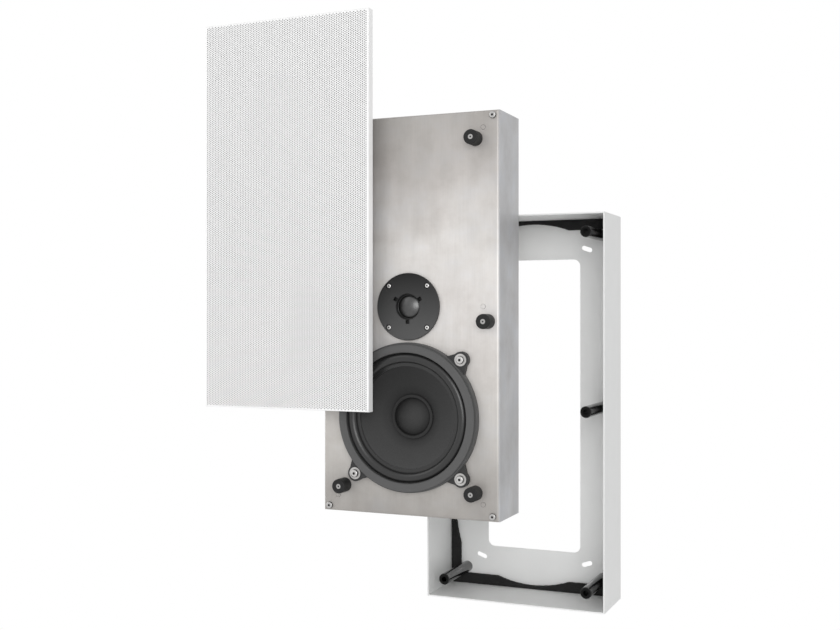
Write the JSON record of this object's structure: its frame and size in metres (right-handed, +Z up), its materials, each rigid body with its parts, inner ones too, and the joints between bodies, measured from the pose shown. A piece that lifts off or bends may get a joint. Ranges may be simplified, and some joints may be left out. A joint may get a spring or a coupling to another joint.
{
  "type": "wall loudspeaker",
  "caption": "Two-way wall loudspeaker shown taken apart: perforated grille, folded steel cabinet with woofer and tweeter, and open wall frame with posts.",
  "frame": {"origin": "centre of the wall frame on its back plane, where it meets the wall", "axes": "+X to the right seen from the front, +Y back into the wall, +Z up"},
  "size_m": [0.444, 0.1856, 0.661],
  "materials": {
    "white_paint": "white powder coat, matt",
    "grille_white": "bright white powder coat, matt",
    "post_black": "gloss black",
    "plated_steel": "bright plated",
    "washer_grey": "satin plated",
    "foam_black": "black open-cell foam",
    "stainless": "brushed stainless, lightly clouded",
    "rubber_black": "matt black rubber",
    "basket_black": "satin black",
    "trim_grey": "grey rubber, fine turned lines",
    "cone_grey": "dark coated pulp",
    "cap_cloth": "dark pressed cloth",
    "copper": "enamelled copper wire",
    "spider_cloth": "resin-stiffened cloth",
    "ferrite": "bare ferrite",
    "plate_charcoal": "satin charcoal",
    "dome_metal": "glossy grey",
    "cup_black": "matt black",
    "terminal_red": "gloss red",
    "terminal_black": "gloss black",
    "board_green": "green board",
    "spacer_white": "natural plastic",
    "capacitor_film": "yellow film",
    "resistor_white": "white cement",
    "damping_wool": "loose wool",
    "cloth_white": "thin white cloth",
    "magnet_nickel": "nickel plated"
  },
  "bodies": {
    "wall_frame": {"wall_frame": "white_paint", "frame_post_top_left": "post_black", "frame_post_top_right": "post_black", "frame_post_mid_left": "post_black", "frame_post_mid_right": "post_black", "frame_post_bottom_left": "post_black", "frame_post_bottom_right": "post_black", "frame_post_screws": "plated_steel", "foam_lining": "foam_black"},
    "cabinet": {"back_panel": "stainless", "back_seal": "foam_black", "baffle_studs": "stainless", "cabinet_shell": "stainless", "corner_bolts": "plated_steel", "corner_pillars": "plated_steel", "crossover_board": "board_green", "crossover_capacitors": "capacitor_film", "crossover_coil_tweeter": "copper", "crossover_coil_woofer": "copper", "crossover_resistor": "resistor_white", "crossover_spacers": "spacer_white", "damping_pad": "damping_wool", "front_post_bottom_left": "rubber_black", "front_post_bottom_right": "rubber_black", "front_post_mid_left": "rubber_black", "front_post_mid_right": "rubber_black", "front_post_nuts": "plated_steel", "front_post_screws": "plated_steel", "front_post_top_left": "rubber_black", "front_post_top_right": "rubber_black", "inner_leads": "rubber_black", "terminal_black": "terminal_black", "terminal_cup": "cup_black", "terminal_cup_screws": "plated_steel", "terminal_red": "terminal_red", "tweeter_dome": "dome_metal", "tweeter_magnet": "ferrite", "tweeter_plate": "plate_charcoal", "tweeter_screws": "plated_steel", "tweeter_seal": "foam_black", "tweeter_top_plate": "plated_steel", "tweeter_voice_coil": "copper", "tweeter_yoke": "plated_steel", "woofer_basket": "basket_black", "woofer_magnet": "ferrite", "woofer_nuts": "plated_steel", "woofer_screws": "plated_steel", "woofer_seal": "foam_black", "woofer_spider": "spider_cloth", "woofer_surround": "rubber_black", "woofer_top_plate": "plated_steel", "woofer_trim_ring": "trim_grey", "woofer_washers": "washer_grey", "woofer_yoke": "plated_steel"},
    "woofer_cone": {"woofer_cone": "cone_grey", "dust_cap": "cap_cloth", "woofer_voice_coil": "copper"},
    "grille": {"grille_sheet": "grille_white", "grille_cloth": "cloth_white", "grille_magnets": "magnet_nickel"}
  },
  "joints": [
    {"name": "cabinet_on", "type": "slide", "parent": "wall_frame", "child": "cabinet", "axis": [0.6658, 0.0701, -0.7429], "range_m": [0, 0.14269]},
    {"name": "grille_on", "type": "slide", "parent": "cabinet", "child": "grille", "axis": [0.7703, 0.0194, -0.6373], "range_m": [0, 0.18044]},
    {"name": "cone_stroke", "type": "slide", "parent": "cabinet", "child": "woofer_cone", "axis": [0, -1, 0], "range_m": [-0.004, 0.004], "stiffness_N_per_m": 800, "deforming": ["woofer_surround", "woofer_spider"]}
  ]
}
